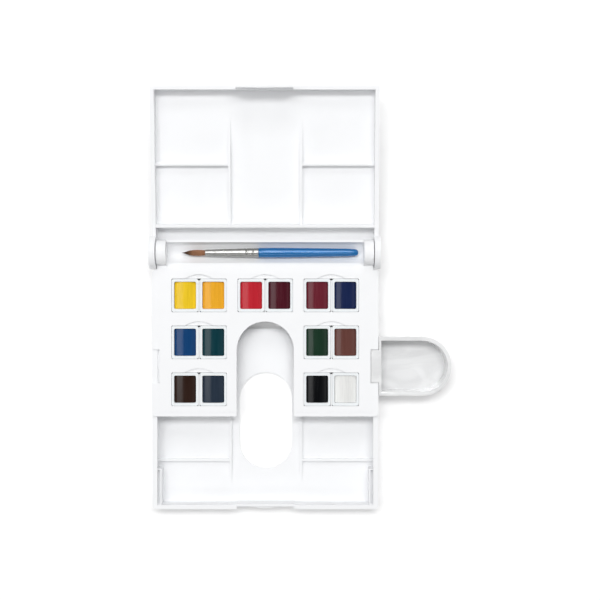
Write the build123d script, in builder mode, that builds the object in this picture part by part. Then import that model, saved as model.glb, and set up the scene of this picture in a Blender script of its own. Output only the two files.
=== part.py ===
"""A folding watercolour paint set, laid open: tray, drawn-out palette, lid, dish, pans and brush.

Millimetres. Z is up, X runs to the user's right and Y away from the user. The origin is on the
table under the middle of the box. The lid stands open on its stop and the palette is drawn out.
"""
import math
import os

from build123d import *

os.makedirs("parts", exist_ok=True)

# Running gaps, and how far a form runs into its neighbour so that the two become one
gap = 0.3
seat_gap = 0.1
lap = 0.5

# Box and hinge
box_width = 136.0
hinge_y = 50.0
hinge_reach = 98.4
lid_depth = 10.0
lid_travel = 173.0
half_width = box_width / 2
front_y = hinge_y - hinge_reach

# Tray deck
deck_top = 17.0
deck_thickness = 2.1
deck_bottom = deck_top - deck_thickness
rim_width = 2.7
rim_step = 0.3
rim_top = deck_top - rim_step
corner_radius = 2.0
deck_rear_gap = 0.4
deck_rear_y = hinge_y - lid_depth - deck_rear_gap
plateau_corner_radius = 1.0
plateau_rear_y = hinge_y - 6.0

# Half pans and the wells that hold them in pairs
pan_width = 16.0
pan_length = 19.85
pan_height = 9.4
pan_wall = 1.35
pan_end_wall = 1.7
pan_floor = 1.0
pan_taper = 3.5
pan_corner_radius = 1.2
pan_cavity_corner_radius = 1.0
pan_recess = 0.6
pan_top = deck_top - pan_recess
pan_side_gap = 0.12
well_wall = 1.2
well_floor = 1.2
well_corner_radius = 0.8
well_outer_radius = 1.8
partition_width = 0.7
partition_top = deck_top - 0.3
partition_notch = 1.0
well_width = 2 * pan_width + partition_width + 4 * pan_side_gap
well_length = pan_length + 2 * pan_side_gap
well_bottom = pan_top - pan_height - well_floor
column_pitch = 39.7
row_pitch = 28.2
first_row_y = 24.3
well_places = [
    (column * column_pitch, first_row_y - row * row_pitch)
    for row in range(3)
    for column in (-1, 0, 1)
    if row == 0 or column != 0
]
pan_places = [
    (x + side * ((partition_width + pan_width) / 2 + pan_side_gap), y)
    for x, y in well_places
    for side in (-1, 1)
]

# Finger notch beside each well
notch_half_chord = 8.4
notch_rise = 2.5
notch_depth = 1.0
notch_radius = (notch_half_chord**2 + notch_rise**2) / (2 * notch_rise)

# Arch in the front of the deck
arch_half_width = 17.2
arch_top_y = 8.6
arch_skirt = 1.2
arch_skirt_bottom = 8.0

# Barrel of the hinge and brush trough
barrel_radius = 7.6
trough_radius = 6.2
trough_ramp_y = hinge_y - 9.6
trough_ramp_drop = 1.45
trough_edge_radius = 2.0
trough_half_length = 59.2
knuckle_outer = 64.9
pivot_radius = 1.5
pivot_clearance = 0.08
pivot_length = 3.0
pivot_end_gap = 0.4

# Rails, feet and stop catches under the tray
rail_inner = 57.5
rail_outer = 60.5
rail_bottom = 4.9
rail_front_y = -43.4
foot_front_y = 12.0
rail_rear_gap = 0.7
rail_rear_y = deck_rear_y - rail_rear_gap
catch_thickness = 1.3
catch_length = 3.7
catch_reach = 7.0

# Dish slots along both sides of the deck
slot_centre_y = -18.3
slot_length = 20.2
slot_inner = 63.3
slot_outer = 64.7
slot_seat_thickness = 0.7
slot_seat_gap = 0.5
hook_drop = 1.9
dish_tab_thickness = 0.9

# Palette
palette_travel = 56.0
palette_floor = 1.8
palette_wall = 1.6
palette_ledge = 3.0
palette_ledge_height = 1.2
palette_top = deck_bottom - gap
palette_front_wall = 2.4
palette_rear_height = 6.4
palette_front_y = front_y - palette_travel
palette_rear_y = hinge_y + lid_depth - palette_travel
palette_step_y = deck_rear_y - gap - palette_travel
palette_inner = half_width - palette_wall
divider_x = 21.5
divider_height = 2.6
divider_width = 1.5
palette_divider_y = -76.3
palette_fade_y = -93.2
foot_slot_gap = 0.4
thumb_hole_width = 32.2
thumb_hole_length = 58.6
thumb_hole_y = -52.2
pocket_y = -91.3
pocket_wall = 0.7
pocket_top = 12.7
pocket_depth = 2.7
pocket_clearance = 0.1

# Latch between the lid and the palette
latch_half_width = 17.3
latch_step_height = 7.6
latch_set_back = 1.6
latch_wall = 1.4
bump_half_width = 4.8
bump_depth = 1.1
bump_low = 10.3
bump_high = 13.2

# Lid, in its own plane: distance v from the hinge axis and height w above its rim
lid_plate = 1.5
lid_wall = 2.5
lid_front_wall = 2.0
lid_chamfer = 0.8
arm_inner = knuckle_outer + 0.4
arm_outer = 68.9
end_rib_v = 14.9
end_rib_width = 1.7
end_rib_drop = 0.4
end_rib_fillet = 3.2
fillet_bulge = 0.67  # a little short of tangent to the plate and the rib
lid_divider_v = 52.5
lid_divider_height = 4.0
lid_fade_start_v = 60.0
lid_fade_end_v = 80.0
tongue_half_width = 16.9
tongue_thickness = 1.3
tongue_reach = 9.0
tongue_root = 2.0

# Dish
dish_left_x = half_width + gap
dish_right_x = 111.9
dish_half_width = 17.6
dish_wall = 2.2
dish_bottom = 3.0
dish_floor = 1.3
dish_inner_wall = 1.4
dish_fillet = 2.5
dish_draft = 3

# Brush
brush_z = deck_top - trough_radius + 3.0
brush_yaw = 0.65
brush_tip_x = -50.5
ferrule_start_x = -36.2
ferrule_end_x = -4.0
handle_end_x = 56.1
hair_radius = 1.85
ferrule_wall = 0.35
tenon_length = 9.0
tenon_gap = 0.05
handle_end_round = 2.0
root_length = 2.0
hair_rings = 11


def side_plane(x):
    """Upright plane across X, with Y to the right and Z up."""
    return Plane(origin=(x, 0, 0), x_dir=(0, 1, 0), z_dir=(1, 0, 0))


def span(low, high):
    """Centre and length of a stretch."""
    return (low + high) / 2, high - low


# Tray
foot_span = span(foot_front_y, rail_rear_y)
rail_span = span(rail_front_y, rail_rear_y)
rail_middle, rail_width = span(rail_inner, rail_outer)
catch_front_y = palette_step_y - catch_reach
catch_y = catch_front_y + catch_length / 2
catch_top = palette_top - palette_ledge_height - gap
slot_seat_top = deck_top - hook_drop - slot_seat_gap
arch_centre_y = arch_top_y - arch_half_width
skirt_span = span(front_y + latch_set_back + latch_wall + gap, arch_centre_y)
with BuildPart() as tray:
    with BuildSketch(Plane.XY.offset(deck_bottom)):
        with Locations((0, (front_y + deck_rear_y) / 2)):
            RectangleRounded(box_width, deck_rear_y - front_y, corner_radius)
    extrude(amount=rim_top - deck_bottom)
    with BuildSketch(Plane.XY.offset(deck_bottom)):
        plateau_middle, plateau_length = span(front_y + rim_width, plateau_rear_y)
        with Locations((0, plateau_middle)):
            RectangleRounded(2 * knuckle_outer, plateau_length, plateau_corner_radius)
    extrude(amount=deck_thickness)
    with BuildSketch(side_plane(-knuckle_outer)):
        with Locations((hinge_y, deck_top)):
            Circle(barrel_radius)
    extrude(amount=2 * knuckle_outer)
    with BuildSketch(side_plane(-trough_half_length)) as trough_outline:
        with BuildLine():
            ramp_foot_z = deck_top - trough_ramp_drop
            ramp_foot_y = hinge_y - math.sqrt(trough_radius**2 - trough_ramp_drop**2)
            Line((trough_ramp_y, deck_top), (ramp_foot_y, ramp_foot_z))
            ThreePointArc(
                (ramp_foot_y, ramp_foot_z),
                (hinge_y, deck_top - trough_radius),
                (hinge_y + trough_radius, deck_top),
            )
            Polyline(
                (hinge_y + trough_radius, deck_top),
                (hinge_y + lid_depth, deck_top),
                (hinge_y + lid_depth, deck_top + lid_depth),
                (trough_ramp_y, deck_top + lid_depth),
                (trough_ramp_y, deck_top),
            )
        make_face()
        ramp_foot = trough_outline.vertices().sort_by_distance((ramp_foot_y, ramp_foot_z, 0))[0]
        fillet(ramp_foot, trough_edge_radius)
    extrude(amount=2 * trough_half_length, mode=Mode.SUBTRACT)
    with BuildSketch(Plane.XY.offset(well_bottom)):
        with Locations(*well_places):
            RectangleRounded(well_width + 2 * well_wall, well_length + 2 * well_wall, well_outer_radius)
        with Locations((0, arch_centre_y)):
            Circle(arch_half_width + arch_skirt)
    extrude(amount=deck_bottom - well_bottom)
    with BuildSketch(Plane.XY.offset(arch_skirt_bottom)):
        with Locations((0, skirt_span[0])):
            Rectangle(2 * (arch_half_width + arch_skirt), skirt_span[1])
    extrude(amount=deck_bottom - arch_skirt_bottom)
    with BuildSketch(Plane.XY.offset(well_bottom)):
        with Locations((0, arch_centre_y)):
            Circle(arch_half_width)
        with Locations((0, front_y)):
            Rectangle(2 * arch_half_width, 2 * (arch_centre_y - front_y))
    extrude(amount=deck_top, mode=Mode.SUBTRACT)
    with BuildSketch(Plane.XY.offset(well_bottom + well_floor)):
        with Locations(*well_places):
            RectangleRounded(well_width, well_length, well_corner_radius)
    extrude(amount=deck_top, mode=Mode.SUBTRACT)
    with BuildSketch(Plane.XY.offset(well_bottom + well_floor)):
        partition_middle, partition_length = span(-well_length / 2 - lap, well_length / 2 - partition_notch)
        with Locations(*[(x, y + partition_middle) for x, y in well_places]):
            Rectangle(partition_width, partition_length)
    extrude(amount=partition_top - well_bottom - well_floor)
    with BuildSketch(Plane.XY.offset(deck_top)):
        with Locations(*[(x, y + well_length / 2 + notch_rise - notch_radius) for x, y in well_places]):
            Circle(notch_radius)
        with Locations(*[(x, y - notch_radius) for x, y in well_places]):
            Rectangle(3 * notch_radius, 2 * notch_radius + well_length, mode=Mode.SUBTRACT)
    extrude(amount=-notch_depth, mode=Mode.SUBTRACT)
    with BuildSketch(Plane.XY.offset(rail_bottom)):
        with Locations((-rail_middle, rail_span[0]), (rail_middle, rail_span[0])):
            Rectangle(rail_width, rail_span[1])
    extrude(amount=deck_bottom - rail_bottom)
    with BuildSketch(Plane.XY):
        with Locations((-rail_middle, foot_span[0]), (rail_middle, foot_span[0])):
            Rectangle(rail_width, foot_span[1])
    extrude(amount=rail_bottom)
    with BuildSketch(Plane.XY.offset(catch_top - catch_thickness)):
        catch_middle, catch_width = span(rail_outer, palette_inner - gap)
        with Locations((-catch_middle, catch_y), (catch_middle, catch_y)):
            Rectangle(catch_width, catch_length)
    extrude(amount=catch_thickness)
    with BuildSketch(Plane.XY.offset(deck_bottom)):
        slot_middle, slot_width = span(slot_inner, slot_outer)
        with Locations((-slot_middle, slot_centre_y), (slot_middle, slot_centre_y)):
            Rectangle(slot_width, slot_length)
    extrude(amount=deck_thickness, mode=Mode.SUBTRACT)
    with BuildSketch(Plane.XY.offset(rim_top - dish_tab_thickness - seat_gap)):
        rebate_middle, rebate_width = span(slot_outer, half_width)
        with Locations((-rebate_middle, slot_centre_y), (rebate_middle, slot_centre_y)):
            Rectangle(rebate_width, slot_length)
    extrude(amount=deck_thickness, mode=Mode.SUBTRACT)
    with BuildSketch(Plane.XY.offset(slot_seat_top - slot_seat_thickness)):
        seat_middle, seat_width = span(rail_outer, slot_outer)
        with Locations((-seat_middle, slot_centre_y), (seat_middle, slot_centre_y)):
            Rectangle(seat_width, slot_length + 2 * lap)
    extrude(amount=slot_seat_thickness)
    for side in (-1, 1):
        with BuildSketch(side_plane(side * knuckle_outer)):
            with Locations((hinge_y, deck_top)):
                Circle(pivot_radius + pivot_clearance)
        extrude(amount=-side * (pivot_length + pivot_end_gap), mode=Mode.SUBTRACT)
tray.part.label = "tray"
export_step(tray.part, "parts/tray.step")


# Palette, drawn out by its whole travel
with BuildPart() as palette:
    length = palette_rear_y - palette_front_y
    with BuildSketch(Plane.XY):
        with Locations((0, (palette_front_y + palette_rear_y) / 2)):
            RectangleRounded(box_width, length, corner_radius)
    extrude(amount=palette_rear_height)
    with BuildSketch(Plane.XY):
        with Locations((0, (palette_front_y + palette_step_y) / 2)):
            RectangleRounded(box_width, palette_step_y - palette_front_y, corner_radius)
    extrude(amount=palette_top)
    with BuildSketch(Plane.XY.offset(palette_floor)):
        inner_front = palette_front_y + palette_front_wall
        inner_middle, inner_length = span(inner_front, palette_rear_y + corner_radius)
        with Locations((0, inner_middle)):
            Rectangle(2 * palette_inner, inner_length)
    extrude(amount=palette_top - palette_ledge_height - palette_floor, mode=Mode.SUBTRACT)
    with BuildSketch(Plane.XY.offset(palette_floor)):
        with Locations((0, inner_middle)):
            Rectangle(2 * (half_width - palette_ledge), inner_length)
    extrude(amount=palette_top, mode=Mode.SUBTRACT)
    with BuildSketch(Plane.XY.offset(palette_floor)):
        with Locations((-divider_x, 0), (divider_x, 0)):
            with Locations((0, (palette_step_y + palette_divider_y) / 2)):
                Rectangle(divider_width, palette_step_y - palette_divider_y)
        for side in (-1, 1):
            with Locations((side * (divider_x + palette_inner) / 2, palette_divider_y)):
                Rectangle(palette_inner - divider_x + lap, divider_width)
    extrude(amount=divider_height)
    for side in (-1, 1):
        with BuildSketch(side_plane(side * divider_x - divider_width / 2)):
            with BuildLine():
                Polyline(
                    (palette_divider_y, palette_floor),
                    (palette_divider_y, palette_floor + divider_height),
                    (palette_fade_y, palette_floor),
                    (palette_divider_y, palette_floor),
                )
            make_face()
        extrude(amount=divider_width)
    with BuildSketch(Plane.XY):
        with Locations((0, thumb_hole_y)):
            SlotOverall(thumb_hole_length, thumb_hole_width, rotation=90)
        foot_slot_front = foot_front_y - palette_travel - foot_slot_gap
        foot_slot_middle, foot_slot_length = span(foot_slot_front, palette_rear_y + lap)
        with Locations((-rail_middle, foot_slot_middle), (rail_middle, foot_slot_middle)):
            Rectangle(rail_width + 2 * foot_slot_gap, foot_slot_length)
    extrude(amount=palette_rear_height, mode=Mode.SUBTRACT)
    stop_front_y = catch_front_y + catch_length + gap
    stop_y, stop_length = span(stop_front_y, palette_step_y)
    stop_middle, stop_width = span(half_width - palette_ledge, palette_inner)
    with BuildSketch(Plane.XY.offset(palette_floor)):
        with Locations((-stop_middle, stop_y), (stop_middle, stop_y)):
            Rectangle(stop_width, stop_length)
    extrude(amount=palette_top - palette_floor)
    pocket_outer = half_width - palette_ledge
    pocket_inner = slot_inner + pocket_clearance
    with BuildSketch(Plane.XY.offset(palette_floor)):
        block_middle, block_width = span(pocket_inner - pocket_wall, palette_inner)
        with Locations((-block_middle, pocket_y), (block_middle, pocket_y)):
            Rectangle(block_width, slot_length + 2 * pocket_wall)
    extrude(amount=pocket_top - palette_floor)
    with BuildSketch(Plane.XY.offset(pocket_top)):
        pocket_middle, pocket_width = span(pocket_inner, pocket_outer)
        with Locations((-pocket_middle, pocket_y), (pocket_middle, pocket_y)):
            Rectangle(pocket_width, slot_length)
    extrude(amount=-pocket_depth, mode=Mode.SUBTRACT)
    with BuildSketch(Plane.XY.offset(latch_step_height)):
        with Locations((0, palette_front_y)):
            Rectangle(2 * latch_half_width, 2 * (palette_front_wall + lap))
    extrude(amount=palette_top, mode=Mode.SUBTRACT)
    with BuildSketch(Plane.XY.offset(palette_floor)):
        wall_middle, wall_depth = span(latch_set_back, latch_set_back + latch_wall)
        with Locations((0, palette_front_y + wall_middle)):
            Rectangle(2 * (latch_half_width + lap), wall_depth)
    extrude(amount=palette_top - palette_floor)
    with BuildSketch(Plane.XY.offset(bump_low)):
        with Locations((0, palette_front_y + latch_set_back - bump_depth / 2)):
            Rectangle(2 * bump_half_width, bump_depth)
    extrude(amount=bump_high - bump_low)
palette.part.label = "palette"
export_step(palette.part, "parts/palette.step")


# Lid, open on its stop
tilt = math.radians(180 - lid_travel)
lid_out = (0, math.cos(tilt), math.sin(tilt))
lid_up = (0, -math.sin(tilt), math.cos(tilt))
rim_plane = Plane(origin=(0, hinge_y, deck_top), x_dir=(1, 0, 0), z_dir=lid_up)


def lid_side(x):
    """Plane across X in the lid, with v to the right and w up."""
    return Plane(origin=(x, hinge_y, deck_top), x_dir=lid_out, z_dir=(1, 0, 0))


lip_outer = lid_depth
lip_inner = lid_depth - lid_plate
lip_stop_drop = deck_thickness + gap
lip_angle = 180 + math.degrees(math.asin(lip_stop_drop / lip_inner)) - math.degrees(tilt)
lip_middle_angle = (270 + lip_angle) / 2


def polar(radius, angle):
    """Point at an angle in degrees round the hinge axis."""
    return (radius * math.cos(math.radians(angle)), radius * math.sin(math.radians(angle)))


with BuildPart() as lid:
    with BuildSketch(lid_side(-half_width)):
        with BuildLine():
            Polyline(
                (0, -lip_outer),
                (hinge_reach - lid_chamfer, -lid_depth),
                (hinge_reach, -lid_depth + lid_chamfer),
                (hinge_reach, 0),
                (hinge_reach - lid_front_wall, 0),
                (hinge_reach - lid_front_wall, -lip_inner),
                (0, -lip_inner),
            )
            ThreePointArc((0, -lip_inner), polar(lip_inner, lip_middle_angle), polar(lip_inner, lip_angle))
            Line(polar(lip_inner, lip_angle), polar(lip_outer, lip_angle))
            ThreePointArc(polar(lip_outer, lip_angle), polar(lip_outer, lip_middle_angle), (0, -lip_outer))
        make_face()
    extrude(amount=box_width)
    for side in (-1, 1):
        with BuildSketch(lid_side(side * (half_width - lid_wall))):
            with BuildLine():
                Polyline(
                    (0, -lid_depth),
                    (hinge_reach - lid_chamfer, -lid_depth),
                    (hinge_reach, -lid_depth + lid_chamfer),
                    (hinge_reach, 0),
                    (0, 0),
                    (0, -lid_depth),
                )
            make_face()
        extrude(amount=side * lid_wall)
        with BuildSketch(lid_side(side * arm_inner)):
            Circle(lid_depth)
        extrude(amount=side * (arm_outer - arm_inner))
        with BuildSketch(lid_side(side * arm_inner)):
            Circle(pivot_radius)
        extrude(amount=-side * pivot_length)
    with BuildSketch(lid_side(-half_width + lap)):
        with BuildLine():
            rib_far_v = end_rib_v + end_rib_width
            fillet_end_v = rib_far_v + end_rib_fillet
            fillet_top = -lip_inner + end_rib_fillet
            Polyline(
                (fillet_end_v, -lip_inner),
                (fillet_end_v, -lip_inner - lap),
                (end_rib_v, -lip_inner - lap),
                (end_rib_v, -end_rib_drop),
                (rib_far_v, -end_rib_drop),
                (rib_far_v, fillet_top),
            )
            ThreePointArc(
                (rib_far_v, fillet_top),
                (fillet_end_v - fillet_bulge * end_rib_fillet, fillet_top - fillet_bulge * end_rib_fillet),
                (fillet_end_v, -lip_inner),
            )
        make_face()
    extrude(amount=box_width - 2 * lap)
    for side in (-1, 1):
        with BuildSketch(lid_side(side * divider_x - divider_width / 2)):
            with BuildLine():
                Polyline(
                    (end_rib_v + lap, -lip_inner - lap),
                    (lid_fade_end_v, -lip_inner - lap),
                    (lid_fade_end_v, -lip_inner),
                    (lid_fade_start_v, -lip_inner + lid_divider_height),
                    (end_rib_v + lap, -lip_inner + lid_divider_height),
                    (end_rib_v + lap, -lip_inner - lap),
                )
            make_face()
        extrude(amount=divider_width)
        with BuildSketch(rim_plane.offset(-lip_inner - lap)):
            cross_middle, cross_length = span(divider_x, half_width - lid_wall + lap)
            with Locations((side * cross_middle, lid_divider_v)):
                Rectangle(cross_length, divider_width)
        extrude(amount=lid_divider_height + lap)
    with BuildSketch(rim_plane.offset(-lid_depth + tongue_root)):
        with Locations((0, hinge_reach - tongue_thickness / 2)):
            Rectangle(2 * tongue_half_width, tongue_thickness)
    extrude(amount=lid_depth - tongue_root + tongue_reach)
    with BuildSketch(rim_plane.offset(deck_top - bump_high - gap)):
        with Locations((0, hinge_reach)):
            Rectangle(2 * (bump_half_width + gap), 4 * tongue_thickness)
    extrude(amount=bump_high - bump_low + 2 * gap, mode=Mode.SUBTRACT)
lid.part.label = "lid"
export_step(lid.part, "parts/lid.step")


# Side dish
with BuildPart() as side_dish:
    dish_bend_x = dish_right_x - dish_half_width
    with BuildSketch(Plane.XY.offset(rim_top)):
        with Locations((dish_bend_x, slot_centre_y)):
            Circle(dish_half_width)
        with Locations(((dish_left_x + dish_bend_x) / 2, slot_centre_y)):
            Rectangle(dish_bend_x - dish_left_x, 2 * dish_half_width)
    extrude(amount=dish_bottom - rim_top)
    fillet(side_dish.faces().sort_by(Axis.Z)[0].edges(), dish_fillet)
    well_left_x = dish_left_x + dish_inner_wall
    with BuildSketch(Plane.XY.offset(rim_top)):
        with Locations((dish_bend_x, slot_centre_y)):
            Circle(dish_half_width - dish_wall)
        with Locations(((well_left_x + dish_bend_x) / 2, slot_centre_y)):
            Rectangle(dish_bend_x - well_left_x, 2 * (dish_half_width - dish_wall))
    extrude(amount=dish_bottom + dish_floor - rim_top, taper=dish_draft, mode=Mode.SUBTRACT)
    tab_length = slot_length - 2 * gap
    with BuildSketch(Plane.XY.offset(rim_top - dish_tab_thickness)):
        tab_middle, tab_width = span(slot_inner + gap, dish_left_x + lap)
        with Locations((tab_middle, slot_centre_y)):
            Rectangle(tab_width, tab_length)
    extrude(amount=dish_tab_thickness)
    with BuildSketch(Plane.XY.offset(rim_top - hook_drop)):
        hook_middle, hook_width = span(slot_inner + gap, slot_outer - seat_gap)
        with Locations((hook_middle, slot_centre_y)):
            Rectangle(hook_width, tab_length)
    extrude(amount=hook_drop - dish_tab_thickness)
side_dish.part.label = "side_dish"
export_step(side_dish.part, "parts/side_dish.step")


# Half pans and their cakes of paint
pan_cavity_width = pan_width - 2 * pan_wall
pan_cavity_length = pan_length - 2 * pan_end_wall
cake_gap = 0.08
cake_crown_drop = 0.7
cake_crown = pan_top - cake_crown_drop
cake_corner_radius = pan_cavity_corner_radius - cake_gap
cake_edge_drop = 1.5
cake_radius = ((pan_cavity_width / 2) ** 2 + cake_edge_drop**2) / (2 * cake_edge_drop)
for number, (pan_x, pan_y) in enumerate(pan_places, start=1):
    with BuildPart() as pan:
        with BuildSketch(Plane.XY.offset(pan_top)):
            with Locations((pan_x, pan_y)):
                RectangleRounded(pan_width, pan_length, pan_corner_radius)
        extrude(amount=-pan_height, taper=pan_taper)
        with BuildSketch(Plane.XY.offset(pan_top)):
            with Locations((pan_x, pan_y)):
                RectangleRounded(pan_cavity_width, pan_cavity_length, pan_cavity_corner_radius)
        extrude(amount=pan_floor - pan_height, taper=pan_taper, mode=Mode.SUBTRACT)
    pan.part.label = f"pan_{number}"
    export_step(pan.part, f"parts/pan_{number}.step")
    with BuildPart() as cake:
        with BuildSketch(Plane.XY.offset(pan_top)):
            with Locations((pan_x, pan_y)):
                RectangleRounded(
                    pan_cavity_width - 2 * cake_gap, pan_cavity_length - 2 * cake_gap, cake_corner_radius
                )
        extrude(amount=pan_floor - pan_height, taper=pan_taper)
        with BuildSketch(Plane.XZ.offset(-pan_y - pan_length)):
            with Locations((pan_x, cake_crown - cake_radius)):
                Circle(cake_radius)
        extrude(amount=2 * pan_length, mode=Mode.INTERSECT)
    cake.part.label = f"cake_{number}"
    export_step(cake.part, f"parts/cake_{number}.step")


# Brush, on its own axis: a sketch plane whose X runs along the brush from tip to handle
brush_plane = Plane(
    origin=(0, hinge_y, brush_z),
    x_dir=(math.cos(math.radians(brush_yaw)), math.sin(math.radians(brush_yaw)), 0),
    z_dir=(0, 0, 1),
)
brush_axis = Axis((0, hinge_y, brush_z), brush_plane.x_dir)
ferrule_radius_start = 1.95
ferrule_radius_end = 2.85
ferrule_slope = (ferrule_radius_end - ferrule_radius_start) / (ferrule_end_x - ferrule_start_x)


def ferrule_radius(x):
    """Outer radius of the ferrule at a distance along the brush."""
    return ferrule_radius_start + ferrule_slope * (x - ferrule_start_x)


ring_places = (-11.5, -7.3)
ring_half = 0.55
ring_depth = 0.22
with BuildPart() as brush_ferrule:
    with BuildSketch(brush_plane):
        with BuildLine():
            outline = [(ferrule_start_x, ferrule_radius_start)]
            for ring_x in ring_places:
                outline.append((ring_x - ring_half, ferrule_radius(ring_x - ring_half)))
                outline.append((ring_x, ferrule_radius(ring_x) - ring_depth))
                outline.append((ring_x + ring_half, ferrule_radius(ring_x + ring_half)))
            outline.append((ferrule_end_x, ferrule_radius_end))
            outline.append((ferrule_end_x, ferrule_radius_end - ferrule_wall))
            outline.append((ferrule_start_x, ferrule_radius_start - ferrule_wall))
            Polyline(*outline, close=True)
        make_face()
    revolve(axis=brush_axis)
brush_ferrule.part.label = "brush_ferrule"
export_step(brush_ferrule.part, "parts/brush_ferrule.step")

handle_shape = [
    (ferrule_end_x, 2.95),
    (4.0, 3.0),
    (16.0, 2.9),
    (34.0, 2.65),
    (49.0, 2.4),
    (handle_end_x - handle_end_round, 2.1),
]
with BuildPart() as brush_handle:
    with BuildSketch(brush_plane):
        with BuildLine():
            tenon_start = ferrule_end_x - tenon_length
            tenon_radius = ferrule_radius(tenon_start) - ferrule_wall - tenon_gap
            tenon_end_radius = ferrule_radius_end - ferrule_wall - tenon_gap
            Polyline(
                (handle_end_x, 0),
                (tenon_start, 0),
                (tenon_start, tenon_radius - ring_depth),
                (ferrule_end_x, tenon_end_radius - ring_depth),
                (ferrule_end_x, handle_shape[0][1]),
            )
            Spline(*handle_shape)
            Spline(
                handle_shape[-1],
                (handle_end_x - handle_end_round / 4, 1.35),
                (handle_end_x, 0),
                tangents=[(1, -0.08), (0, -1)],
            )
        make_face()
    revolve(axis=brush_axis)
brush_handle.part.label = "brush_handle"
export_step(brush_handle.part, "parts/brush_handle.step")

# Hair of the brush: tapered strands that lean in to the point together, on one root disc
hair_length = ferrule_start_x - brush_tip_x
strand_pitch = hair_radius / hair_rings
hair_shape = [(0.0, 0.93), (0.4, 1.0), (0.75, 0.66), (1.0, 0.1)]
strand_half_width = 0.42 * strand_pitch
outer_shortening = 0.16
shortest_step = 0.05
root_gap = 0.03


def hair_spread(share):
    """How far the strands spread at a share of the hair's length, as part of their spread at the belly."""
    for (low, spread_low), (high, spread_high) in zip(hair_shape, hair_shape[1:]):
        if share <= high:
            return spread_low + (spread_high - spread_low) * (share - low) / (high - low)
    return hair_shape[-1][1]


def strand(ring, angle):
    """One strand of the hair as a three-sided ruled loft."""
    reach = 1.0 - outer_shortening * (ring / hair_rings) ** 2
    stations = [share for share, _ in hair_shape if share < reach - shortest_step] + [reach]
    sections = []
    for share in stations:
        spread = hair_spread(share)
        centre_y = ring * strand_pitch * spread * math.cos(angle)
        centre_z = ring * strand_pitch * spread * math.sin(angle)
        size = strand_half_width * spread
        x = -share * hair_length
        corners = [
            brush_plane.from_local_coords(
                (
                    ferrule_start_x + x,
                    centre_y + size * math.cos(angle + turn),
                    centre_z + size * math.sin(angle + turn),
                )
            )
            for turn in (0, math.tau / 3, 2 * math.tau / 3)
        ]
        sections.append(Wire.make_polygon(corners))
    return Solid.make_loft(sections, ruled=True)


strands = [strand(0, 0.0)]
for ring in range(1, hair_rings):
    count = 6 * ring
    for index in range(count):
        strands.append(strand(ring, math.tau * index / count))
root_plane = Plane(
    origin=brush_plane.from_local_coords((ferrule_start_x, 0, 0)),
    z_dir=brush_plane.x_dir,
)
with BuildPart() as brush_tuft:
    with BuildSketch(root_plane):
        Circle(ferrule_radius_start - ferrule_wall - root_gap)
    extrude(amount=root_length)
    add(strands)
brush_tuft.part.label = "brush_tuft"
export_step(brush_tuft.part, "parts/brush_tuft.step")
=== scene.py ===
"""Watercolour paint set, laid open: lid up, palette drawn out, dish hooked on and brush in its trough."""

import math
import random

import bmesh
import bpy
from bpy.props import FloatProperty, FloatVectorProperty, IntProperty, PointerProperty
from mathutils import Matrix, Vector


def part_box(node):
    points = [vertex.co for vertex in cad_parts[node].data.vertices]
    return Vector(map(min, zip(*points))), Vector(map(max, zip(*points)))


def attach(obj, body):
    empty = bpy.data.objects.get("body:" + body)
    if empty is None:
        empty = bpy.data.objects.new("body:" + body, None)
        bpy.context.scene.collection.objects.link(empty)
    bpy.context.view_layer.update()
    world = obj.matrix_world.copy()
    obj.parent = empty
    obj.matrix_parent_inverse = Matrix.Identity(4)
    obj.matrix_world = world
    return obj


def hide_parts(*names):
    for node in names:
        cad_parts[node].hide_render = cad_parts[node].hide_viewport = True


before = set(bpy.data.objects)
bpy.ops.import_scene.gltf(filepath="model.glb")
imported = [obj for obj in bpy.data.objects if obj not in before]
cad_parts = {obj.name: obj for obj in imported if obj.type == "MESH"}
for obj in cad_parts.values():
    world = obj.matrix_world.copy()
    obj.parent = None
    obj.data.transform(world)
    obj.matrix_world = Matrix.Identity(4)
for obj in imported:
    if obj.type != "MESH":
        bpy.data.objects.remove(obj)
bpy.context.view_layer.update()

bl_info = {
    "name": "Watercolour Paint Set",
    "version": (1, 0, 0),
    "blender": (4, 5, 0),
    "location": "View3D > Sidebar > Paint Set",
    "description": "Mouldings, half pans, paints and brush of a folding watercolour box",
    "category": "Object",
}

MM = 0.001
MERGE_DISTANCE = 0.002 * MM
SHARP_ANGLE = math.radians(30)
TURNED_SHARP_ANGLE = math.radians(50)
TURNED_STEPS = 48

# Noise textures keep mostly between these two values
NOISE_LOW = 0.3
NOISE_HIGH = 0.7

# Mouldings of the box: CAD node and name of the piece
BOX_PARTS = (("tray", "tray_moulding"), ("palette", "palette_moulding"), ("lid", "lid_moulding"))

# Finger notches behind the two front rows of pans, in mm: the middle of each chord and the shape they share.
# The overlap runs the cut a little way into the well
NOTCH_PLACES = [(x, chord_y) for x in (-39.7, 39.7) for chord_y in (6.145, -22.055)]
NOTCH_HALF_CHORD = 8.4
NOTCH_RISE = 2.5
NOTCH_RADIUS = (NOTCH_HALF_CHORD**2 + NOTCH_RISE**2) / (2 * NOTCH_RISE)
NOTCH_DEPTH = 1.0
NOTCH_OVERLAP = 0.4
NOTCH_STEPS = 24
DECK_TOP = 17.0

# Brush, in mm. The ferrule reaches this far to each side of its middle, from which all distances count
FERRULE_REACH = 16.1
FERRULE_WALL = 0.3
FERRULE_TIP_RADIUS = 1.95
FERRULE_FLARE = 0.9
CRIMPED_RINGS = (8.6, 12.8)
RING_DENTS = ((-0.75, 0.0), (-0.5, 0.03), (-0.28, 0.15), (0.0, 0.22), (0.28, 0.15), (0.5, 0.03), (0.75, 0.0))
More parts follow.
